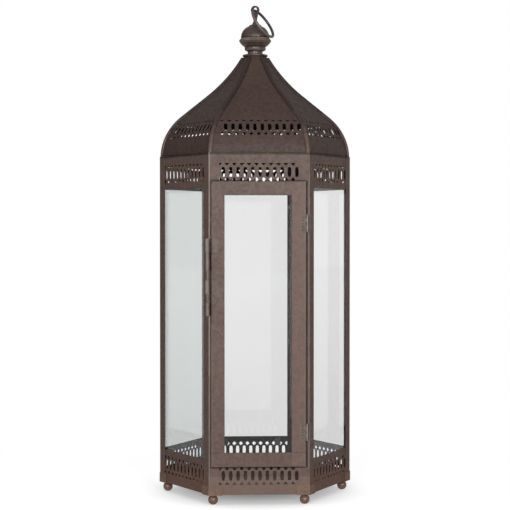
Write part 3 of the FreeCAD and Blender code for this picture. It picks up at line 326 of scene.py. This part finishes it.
def lacquered(name, lacquer, dark, rust, rust_amount, worn, rub, relief, low_rust=0.0, specular=0.5,
              smoothest=0.42, marks=()):
    """Lacquered iron: old lacquer from its smoothest places up to rough ones, rubbed edges, more
    rust towards the floor where asked, painted shade that makes the inside nearly black, and
    marks of dirt, use, painted shade and painted highlight, each a box from a low to a high corner in
    millimetres with its colour and strength."""
    material = bpy.data.materials.new(name)
    material.use_nodes = True
    nodes, links = material.node_tree.nodes, material.node_tree.links
    shader = nodes["Principled BSDF"]
    place = nodes.new("ShaderNodeTexCoord").outputs["Object"]
    coat = nodes.new("ShaderNodeGroup")
    coat.node_tree = lacquer_group
    links.new(place, coat.inputs["Vector"])
    coat.inputs["Lacquer"].default_value = (*lacquer, 1.0)
    coat.inputs["Dark"].default_value = (*dark, 1.0)
    coat.inputs["Rust"].default_value = (*rust, 1.0)
    coat.inputs["Smoothest"].default_value = smoothest
    height = nodes.new("ShaderNodeSeparateXYZ")
    links.new(place, height.inputs[0])
    near_floor = ramped(nodes, links, height.outputs["Z"], 0.11, 0.02, 0.0, low_rust)
    links.new(math_node(nodes, links, "ADD", near_floor, rust_amount), coat.inputs["Rust amount"])
    edge = nodes.new("ShaderNodeGroup")
    edge.node_tree = rub_group
    links.new(place, edge.inputs["Vector"])
    edge.inputs["Amount"].default_value = rub
    colour = blend_colour(nodes, links, edge.outputs["Mask"], coat.outputs["Color"], (*worn, 1.0))
    smudges = noise(nodes, links, place, scale=60.0, detail=4.0, roughness=0.6)
    uneven = ramped(nodes, links, smudges, 0.3, 0.6, 0.78, 1.0)
    for low, high, tone, strength in marks:
        patch = nodes.new("ShaderNodeGroup")
        patch.node_tree = patch_group
        links.new(place, patch.inputs["Vector"])
        patch.inputs["Middle"].default_value = [(a + b) / 2000.0 for a, b in zip(low, high)]
        patch.inputs["Half size"].default_value = [(b - a) / 2000.0 for a, b in zip(low, high)]
        strong = math_node(nodes, links, "MULTIPLY", patch.outputs["Mask"], strength)
        colour = blend_colour(nodes, links, math_node(nodes, links, "MULTIPLY", strong, uneven), colour,
                              (*tone, 1.0))
    # Faces towards the axis go nearly black and matt: painted shade for the lantern's dark inside.
    inside = nodes.new("ShaderNodeAttribute")
    inside.attribute_name = "inside"
    colour = blend_colour(nodes, links, math_node(nodes, links, "MULTIPLY", inside.outputs["Fac"], 0.90),
                          colour, (0.010, 0.011, 0.009, 1.0))
    links.new(colour, shader.inputs["Base Color"])
    matt = math_node(nodes, links, "MULTIPLY", inside.outputs["Fac"], 0.9)
    links.new(math_node(nodes, links, "MAXIMUM", coat.outputs["Roughness"], matt), shader.inputs["Roughness"])
    shader.inputs["Specular IOR Level"].default_value = specular
    bump = nodes.new("ShaderNodeBump")
    bump.inputs["Strength"].default_value = 0.6
    bump.inputs["Distance"].default_value = relief
    links.new(coat.outputs["Height"], bump.inputs["Height"])
    links.new(bump.outputs["Normal"], shader.inputs["Normal"])
    return material


def band(low, high, tone, strength):
    """A mark that goes all round the lantern between two heights."""
    beyond = 200
    return (-beyond, -beyond, low), (beyond, beyond, high), tone, strength


# The first colour is dirt and also painted shade, the second rubbed wear and also painted highlight, the third
# a warm tone and also painted light.
DIRT_AND_SHADE = (0.026, 0.011, 0.008)
WEAR_AND_HIGHLIGHT = (0.44, 0.36, 0.31)
WARM_TONE_AND_LIGHT = (0.33, 0.215, 0.165)
ORANGE = (0.27, 0.130, 0.070)
FOOT_MARKS = (
    ((-80, -136, 13), (80, -132, 44), WARM_TONE_AND_LIGHT, 0.50),
    ((-160, -140, 13), (-79.5, 140, 46), ORANGE, 0.42),
    ((79.5, -140, 13), (160, 140, 46), ORANGE, 0.42))
POST_MARKS = (
    # Painted shade under the roof's lip along the top of the walls.
    band(540.4, 543.4, DIRT_AND_SHADE, 0.80),
    # Pale strips down the front-left bend: painted highlight.
    ((-77.8, -140, 200), (-76.3, -130, 543), WEAR_AND_HIGHLIGHT, 0.80),
    ((-77.8, -140, 18), (-76.8, -130, 200), WEAR_AND_HIGHLIGHT, 0.40),
    # A lighter strip down the front-right bend: painted highlight.
    ((75.2, -136, 60), (77.2, -130, 499), WARM_TONE_AND_LIGHT, 0.55))
# Painted shadow beside the door: a dark strip on the post right of the door, a line at its left edge, and lines
# above and below it.
DOOR_GAP_SHADE = (
    ((71.5, -134.5, 59), (74.7, -130, 499.5), DIRT_AND_SHADE, 0.95),
    ((-75.0, -134.5, 59), (-73.9, -130, 499.5), DIRT_AND_SHADE, 0.85),
    ((-74, -134.5, 498.9), (71.5, -130, 501.2), DIRT_AND_SHADE, 0.95),
    ((-74, -134.5, 57.6), (71.5, -130, 60.1), DIRT_AND_SHADE, 0.90))
DOOR_MARKS = (
    ((50, -141, 60), (71, -137, 499), WARM_TONE_AND_LIGHT, 0.30),
    # Pale lines down the door's edges: painted highlights.
    ((70.2, -141, 60), (71.4, -137, 499), WEAR_AND_HIGHLIGHT, 0.35),
    ((-74.0, -141, 60), (-73.0, -137, 280), WEAR_AND_HIGHLIGHT, 0.40),
    ((-74, -141, 81.6), (-53.5, -137, 82.4), DIRT_AND_SHADE, 0.35),
    ((49.4, -141, 81.6), (71.3, -137, 82.4), DIRT_AND_SHADE, 0.30))
sheet_lacquer = lacquered(
    "bronze_brown_lacquer", lacquer=(0.212, 0.137, 0.114), dark=(0.135, 0.088, 0.072),
    rust=(0.23, 0.125, 0.080), rust_amount=0.34, worn=WEAR_AND_HIGHLIGHT, rub=0.80, relief=0.0004, low_rust=0.45,
    marks=FOOT_MARKS + POST_MARKS + DOOR_GAP_SHADE + DOOR_MARKS)


def link_piece(name, skin, body, material, replaced):
    """A finished skin becomes a piece that stands for its solid and moves with its body."""
    mesh = bpy.data.meshes.new(name)
    skin.to_mesh(mesh)
    skin.free()
    mesh.materials.clear()
    mesh.materials.append(material)
    piece = bpy.data.objects.new(name, mesh)
    bpy.context.scene.collection.objects.link(piece)
    for face in mesh.polygons:
        face.use_smooth = True
    mesh.set_sharp_from_angle(angle=math.radians(38.0))
    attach(piece, body)
    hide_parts(replaced)
    return piece


def marked_bevel(skin, edges, width, steps):
    """Rounds edges and marks the rounding as what hands rub."""
    rub = skin.faces.layers.float.get("rub") or skin.faces.layers.float.new("rub")
    made = bmesh.ops.bevel(skin, geom=edges, offset=width, offset_type="OFFSET", segments=steps, profile=0.5,
                           affect="EDGES", clamp_overlap=True, material=-1)
    for face in made["faces"]:
        face[rub] = 1.0


def mark_inside(skin):
    """Marks the faces that look towards the lantern's axis."""
    inside = skin.faces.layers.float.new("inside")
    for face in skin.faces:
        out = Vector((*face.calc_center_median().xy, 0.0)).normalized()
        face[inside] = 1.0 if face.normal.dot(out) < -0.25 else 0.0


MERGE_DISTANCE = 0.000002
CUT_ANGLE, FOLD_ANGLE, FLAT_ANGLE = math.radians(50), math.radians(70), math.radians(0.4)


def sheet_piece(node, body, material, width, steps=2, fold=None, hollow=False):
    """The node's own sheet, closed to one skin, with every cut edge rounded, and its outer folds
    rounded wider where asked."""
    skin = bmesh.new()
    skin.from_mesh(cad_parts[node].data)
    bmesh.ops.remove_doubles(skin, verts=skin.verts, dist=MERGE_DISTANCE)
    bmesh.ops.dissolve_limit(skin, angle_limit=FLAT_ANGLE, verts=skin.verts, edges=skin.edges)
    turns = {edge: edge.calc_face_angle() for edge in skin.edges if edge.is_manifold}
    folds = [edge for edge, turn in turns.items()
             if fold and edge.is_convex and CUT_ANGLE < turn < FOLD_ANGLE]
    cuts = [edge for edge, turn in turns.items() if turn > CUT_ANGLE and edge not in folds]
    if folds:
        marked_bevel(skin, folds, fold, 3)
        cuts = [edge for edge in cuts if edge.is_valid]
    marked_bevel(skin, cuts, width, steps)
    if hollow:
        mark_inside(skin)
    piece = link_piece(f"{node}_skin", skin, body, material, node)
    if "custom_normal" in piece.data.attributes:
        piece.data.attributes.remove(piece.data.attributes["custom_normal"])
    even = piece.modifiers.new("even_shading", "WEIGHTED_NORMAL")
    even.keep_sharp = True
    return piece


for corner in CORNERS:
    sheet_piece(f"corner_post_{corner}", "lantern", sheet_lacquer, 0.0002, fold=0.0007,
                hollow=True)

# ---------------------------------------------------------------- pierced strips
# A plinth strip and a frieze strip on each wall, punched with a row of slots between diamonds
# and triangles, of the same lacquered sheet as the posts and soldered behind them.
for wall in WALLS:
    for strip in ("plinth", "frieze"):
        sheet_piece(f"{strip}_panel_{wall}", "lantern", sheet_lacquer, 0.00012, 1, hollow=True)

# ---------------------------------------------------------------- floor plate and brackets
# The floor of the lantern, and a small plate folded round the foot of every corner, where wet
# floors have brought out the rust.
bracket_lacquer = lacquered(
    "rusty_bracket_lacquer", lacquer=(0.32, 0.205, 0.150), dark=(0.20, 0.125, 0.090), rust=(0.37, 0.190, 0.100),
    rust_amount=0.75, worn=(0.46, 0.35, 0.28), rub=0.8, relief=0.0006)
sheet_piece("base_plate", "lantern", sheet_lacquer, 0.0002)
sheet_piece("foot_brackets", "lantern", bracket_lacquer, 0.0002, fold=0.0006)

# ---------------------------------------------------------------- ball feet
# Six turned iron balls, lacquered with the body and screwed up under the corners. They are
# smoother and rustier than the sheet.
ball_lacquer = lacquered(
    "rubbed_ball_lacquer", lacquer=(0.29, 0.180, 0.120), dark=(0.17, 0.100, 0.068), rust=(0.42, 0.21, 0.10),
    rust_amount=0.7, worn=(0.50, 0.38, 0.30), rub=0.8, relief=0.0006, specular=0.9, smoothest=0.20)


def arc(start, end, bulge, steps):
    """Points between two points of a profile, bowed out by bulge to the right of the way."""
    (r1, z1), (r2, z2) = start, end
    chord = math.hypot(r2 - r1, z2 - z1)
    radius = chord * chord / (8 * abs(bulge)) + abs(bulge) / 2
    half = math.asin(min(1.0, chord / 2 / radius))
    if abs(bulge) > radius:
        half = math.pi - half
    right = Vector((z2 - z1, r1 - r2)) / chord * math.copysign(1.0, bulge)
    middle = Vector(((r1 + r2) / 2, (z1 + z2) / 2)) + right * (abs(bulge) - radius)
    along = Vector((r2 - r1, z2 - z1)) / chord
    points = []
    for k in range(1, steps):
        angle = half * (2 * k / steps - 1)
        place = middle + (right * math.cos(angle) + along * math.sin(angle)) * radius
        points.append((place.x, place.y))
    return points


def turned_skin(profile, steps):
    """A closed profile of radii and heights in millimetres, spun about the upright axis."""
    skin = bmesh.new()
    verts = [skin.verts.new((max(r, 0.0) / 1000.0, 0.0, z / 1000.0)) for r, z in profile]
    edges = [skin.edges.new(pair) for pair in zip(verts, verts[1:])]
    bmesh.ops.spin(skin, geom=verts + edges, cent=(0, 0, 0), axis=(0, 0, 1), dvec=(0, 0, 0),
                   angle=math.tau, steps=steps, use_merge=True)
    bmesh.ops.remove_doubles(skin, verts=skin.verts, dist=MERGE_DISTANCE)
    bmesh.ops.recalc_face_normals(skin, faces=skin.faces)
    return skin


def soften(skin, width, steps=2, angle=40.0):
    """Rounds every edge that is sharper than the angle."""
    edges = [edge for edge in skin.edges if edge.is_manifold and edge.calc_face_angle() > math.radians(angle)]
    marked_bevel(skin, edges, width, steps)


def ball_feet():
    feet = bmesh.new()
    foot_circle = 0.142
    flat, neck, top, bulge = (2.4, 0.0), (3.6, 14.13), 15.2, 4.69
    profile = [(0.0, 0.0), flat] + arc(flat, neck, bulge, 20) + [neck, (neck[0], top), (0.0, top)]
    for k in range(6):
        ball = turned_skin(profile, 32)
        bmesh.ops.translate(ball, vec=(foot_circle, 0, 0), verts=ball.verts)
        turn = Matrix.Rotation(math.radians(60 * k), 3, "Z")
        bmesh.ops.rotate(ball, cent=(0, 0, 0), matrix=turn, verts=ball.verts)
        part = bpy.data.meshes.new("ball")
        ball.to_mesh(part)
        feet.from_mesh(part)
        bpy.data.meshes.remove(part)
        ball.free()
    link_piece("turned_ball_feet", feet, "lantern", ball_lacquer, "ball_feet")


ball_feet()

# ---------------------------------------------------------------- screws of the feet
# Plain steel pan-head screws, seen only from inside.
bare_steel = lacquered(
    "dull_steel", lacquer=(0.36, 0.34, 0.32), dark=(0.20, 0.18, 0.17), rust=(0.25, 0.15, 0.10),
    rust_amount=0.25, worn=(0.55, 0.53, 0.50), rub=0.5, relief=0.0003)
sheet_piece("foot_screws", "lantern", bare_steel, 0.0002)

# ---------------------------------------------------------------- glass
# Clear 2 mm sheet glass with a faint green cast, slipped in behind the strips and held there by
# bent tabs.


def sheet_glass(name, tint):
    """Clear glass with faint smears in its tint, darker towards the bottom of the pane as painted shade."""
    material = bpy.data.materials.new(name)
    material.use_nodes = True
    nodes, links = material.node_tree.nodes, material.node_tree.links
    shader = nodes["Principled BSDF"]
    place = nodes.new("ShaderNodeTexCoord").outputs["Object"]
    shader.inputs["Transmission Weight"].default_value = 1.0
    shader.inputs["Metallic"].default_value = 0.0
    shader.inputs["IOR"].default_value = 1.5
    height = nodes.new("ShaderNodeSeparateXYZ")
    links.new(place, height.inputs[0])
    painted_low_shade = ramped(nodes, links, height.outputs["Z"], 0.05, 0.36, 0.945, 1.0)
    smears = noise(nodes, links, place, scale=9.0, detail=4.0, roughness=0.6)
    film = ramped(nodes, links, smears, 0.3, 0.7, 0.988, 1.0)
    smears_and_shade = math_node(nodes, links, "MULTIPLY", painted_low_shade, film)
    links.new(blend_colour(nodes, links, 1.0, (*tint, 1.0), smears_and_shade, "MULTIPLY"), shader.inputs["Base Color"])
    shader.inputs["Roughness"].default_value = 0.0
    return material


# The door's pane and, darker still, the left panes get dimmer tints than the rest: painted shade.
front_glass = sheet_glass("door_sheet_glass", (0.895, 0.900, 0.897))
left_glass = sheet_glass("shaded_sheet_glass", (0.838, 0.856, 0.850))
clear_glass = sheet_glass("clear_sheet_glass", (0.930, 0.934, 0.930))
for wall in WALLS[1:]:
    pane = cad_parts[f"glass_pane_{wall}"]
    pane.data.materials[0] = left_glass if wall.endswith("left") else clear_glass
sheet_piece("pane_clips", "lantern", sheet_lacquer, 0.00015, 1)

# ---------------------------------------------------------------- roof
# Six ogee panels of lacquered sheet, darker than the walls, with a lip over the wall's top and a
# pierced band. Cover strips close the joints, in painted shade towards the top and painted light at the eave.
roof_lacquer = lacquered(
    "dark_roof_lacquer", lacquer=(0.122, 0.076, 0.064), dark=(0.078, 0.049, 0.042), rust=(0.16, 0.086, 0.058),
    rust_amount=0.30, worn=(0.26, 0.20, 0.17), rub=0.7, relief=0.0005, specular=0.4)
for wall in WALLS:
    sheet_piece(f"roof_panel_{wall}", "lantern", roof_lacquer, 0.00015, 1, hollow=True)
rib_lacquer = lacquered(
    "rib_lacquer", lacquer=(0.150, 0.098, 0.082), dark=(0.09, 0.058, 0.050), rust=(0.18, 0.10, 0.07),
    rust_amount=0.30, worn=(0.34, 0.26, 0.22), rub=0.8, relief=0.0005,
    # Bands of painted shade high on the ribs, and painted light low on them.
    marks=(band(585, 720, DIRT_AND_SHADE, 0.45), band(612, 720, DIRT_AND_SHADE, 0.60), band(540, 572, WARM_TONE_AND_LIGHT, 0.30)))
for corner in CORNERS:
    sheet_piece(f"roof_rib_{corner}", "lantern", rib_lacquer, 0.0004)

# ---------------------------------------------------------------- collar and finial
# A flat disc, a turned neck with a bead, a spun bowl and a spun dome, threaded on the rod of
# the eye, of polished iron under the lacquer, with painted shade at the neck, in the grooves and at the dome's
# foot, and painted highlights on the rims.
turned_lacquer = lacquered(
    "turned_iron_lacquer", lacquer=(0.150, 0.100, 0.082), dark=(0.085, 0.056, 0.047), rust=(0.22, 0.115, 0.07),
    rust_amount=0.45, worn=(0.46, 0.37, 0.31), rub=0.9, relief=0.0006, specular=1.0, smoothest=0.20,
    # Painted shade darkens the neck, the joint under the bead and the bowl's groove; pale bands on the neck's
    # foot and the bowl's rim are painted highlights.
    marks=(band(712.0, 714.9, DIRT_AND_SHADE, 0.85), band(709.8, 711.2, (0.24, 0.19, 0.16), 0.60),
           band(720.6, 722.2, DIRT_AND_SHADE, 0.70), band(725.2, 726.6, DIRT_AND_SHADE, 0.55),
           band(733.4, 735.3, (0.42, 0.34, 0.29), 0.55)))
dome_lacquer = lacquered(
    "dark_dome_lacquer", lacquer=(0.105, 0.068, 0.058), dark=(0.062, 0.040, 0.034), rust=(0.16, 0.086, 0.058),
    rust_amount=0.35, worn=(0.26, 0.20, 0.17), rub=0.7, relief=0.0006, specular=0.8, smoothest=0.26,
    # A painted shade line at the foot of the dome, and a painted highlight just above it.
    marks=(band(735.7, 737.4, DIRT_AND_SHADE, 0.90), band(738.2, 739.4, (0.24, 0.18, 0.15), 0.45)))


def finial():
    bore = 3.1
    hub, disc, disc_low, disc_high, collar_top = 8.0, 20.3, 706.0, 708.3, 709.9
    collar = [(bore, 702.0), (hub, 702.0), (hub, disc_low), (disc, disc_low), (disc, disc_high),
              (13.2, collar_top), (bore, collar_top)]
    stalk, bead_low, neck_top = 12.2, 714.5, 721.5
    bead, bead_edge = (16.5, 715.9), (16.5, neck_top)
    neck = [(bore, collar_top), (stalk, collar_top), (stalk, bead_low), (13.1, bead_low), bead]
    neck += arc(bead, bead_edge, 0.7, 8) + [bead_edge, (bore, neck_top)]
    bowl_seat, rim, bowl_top = (16.9, neck_top), (26.2, 731.5), 735.8
    lip = (22.4, bowl_top)
    bowl = [(bore, neck_top), bowl_seat] + arc(bowl_seat, rim, 1.1, 10) + [rim]
    bowl += arc(rim, lip, 0.35, 4) + [lip, (20.96, bowl_top), (bore, 734.5)]
    dome_edge, shoulder, dome_top = (23.0, bowl_top), (10.2, 755.0), 756.8
    dome = [(bore, bowl_top), dome_edge] + arc(dome_edge, shoulder, 3.8, 14)
    dome += [shoulder, (9.6, shoulder[1]), (9.6, dome_top), (bore, dome_top)]
    for name, profile, width in (("roof_collar", collar, 0.5), ("finial_neck", neck, 0.5),
                                 ("finial_bowl", bowl, 0.6), ("finial_dome", dome, 0.5)):
        skin = turned_skin(profile + profile[:1], 72)
        soften(skin, width / 1000.0, 3)
        paint = dome_lacquer if name in ("finial_dome", "roof_collar") else turned_lacquer
        link_piece(f"turned_{name}", skin, "lantern", paint, name)


finial()

# ---------------------------------------------------------------- rod, eye, nut and ring
# A rod through the finial ends in a flattened eye, which carries a loose ring of bent wire. A
# nut inside the roof pulls the finial down.
forged_lacquer = lacquered(
    "forged_iron_lacquer", lacquer=(0.098, 0.066, 0.056), dark=(0.050, 0.034, 0.029), rust=(0.16, 0.09, 0.06),
    rust_amount=0.35, worn=(0.42, 0.33, 0.28), rub=0.9, relief=0.0006, specular=1.0, smoothest=0.22,
    # A pale box over the front of the ring: painted highlight on its near arc.
    marks=(((-10, -45, 725), (45, -9, 775), (0.33, 0.25, 0.22), 0.60),))
sheet_piece("hanger_stem", "lantern", forged_lacquer, 0.0004, 3)
sheet_piece("hanger_nut", "lantern", bare_steel, 0.0003)
sheet_piece("hanging_ring", "ring", forged_lacquer, 0.0002)

# ---------------------------------------------------------------- door
# A folded frame of lacquered sheet laid over the front wall, with its pane held by bent tabs.
sheet_piece("door_frame", "door", sheet_lacquer, 0.0004, 3, hollow=True)
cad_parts["door_glass"].data.materials[0] = front_glass
sheet_piece("door_glass_clips", "door", sheet_lacquer, 0.00015, 1)

# ---------------------------------------------------------------- hinges
# Two folded butt hinges with steel pins, riveted to the door and to the corner post.
hardware_lacquer = lacquered(
    "rubbed_hardware_lacquer", lacquer=(0.230, 0.165, 0.138), dark=(0.14, 0.10, 0.085), rust=(0.28, 0.16, 0.10),
    rust_amount=0.40, worn=(0.50, 0.42, 0.36), rub=0.9, relief=0.0003, specular=0.7,
    # Painted shade down the right of the latch and of the hinge knuckles, and painted highlights down the left
    # of the latch sleeves and on the knuckles.
    marks=(((-76.8, -160, 280), (-73.2, -130, 420), DIRT_AND_SHADE, 0.85),
           ((-82.6, -160, 280), (-80.2, -130, 420), (0.52, 0.44, 0.38), 0.75),
           ((75.4, -160, 90), (77.0, -130, 455), DIRT_AND_SHADE, 0.60),
           ((72.9, -160, 90), (74.3, -138.5, 455), (0.50, 0.42, 0.37), 0.70)))
# The rivets are coloured near black as painted shade for the dark dots round their heads.
rivet_lacquer = lacquered(
    "dark_rivet_lacquer", lacquer=(0.075, 0.055, 0.046), dark=(0.045, 0.034, 0.030), rust=(0.14, 0.08, 0.05),
    rust_amount=0.30, worn=(0.20, 0.16, 0.14), rub=0.5, relief=0.0002, specular=0.6)
sheet_piece("hinge_frame_leaves", "lantern", hardware_lacquer, 0.0002)
sheet_piece("hinge_door_leaves", "door", hardware_lacquer, 0.0002)
sheet_piece("hinge_pins", "lantern", bare_steel, 0.0001)
sheet_piece("hinge_frame_rivets", "lantern", rivet_lacquer, 0.0001)
sheet_piece("hinge_door_rivets", "door", rivet_lacquer, 0.0001)

# ---------------------------------------------------------------- barrel bolt
# Two sleeves on the edge of the door guide a turned drop bolt, and a sleeve on the corner post
# keeps it.
sheet_piece("latch_guides", "door", hardware_lacquer, 0.0002)
sheet_piece("latch_bolt", "bolt", hardware_lacquer, 0.0003)
sheet_piece("latch_keeper", "lantern", hardware_lacquer, 0.0002)
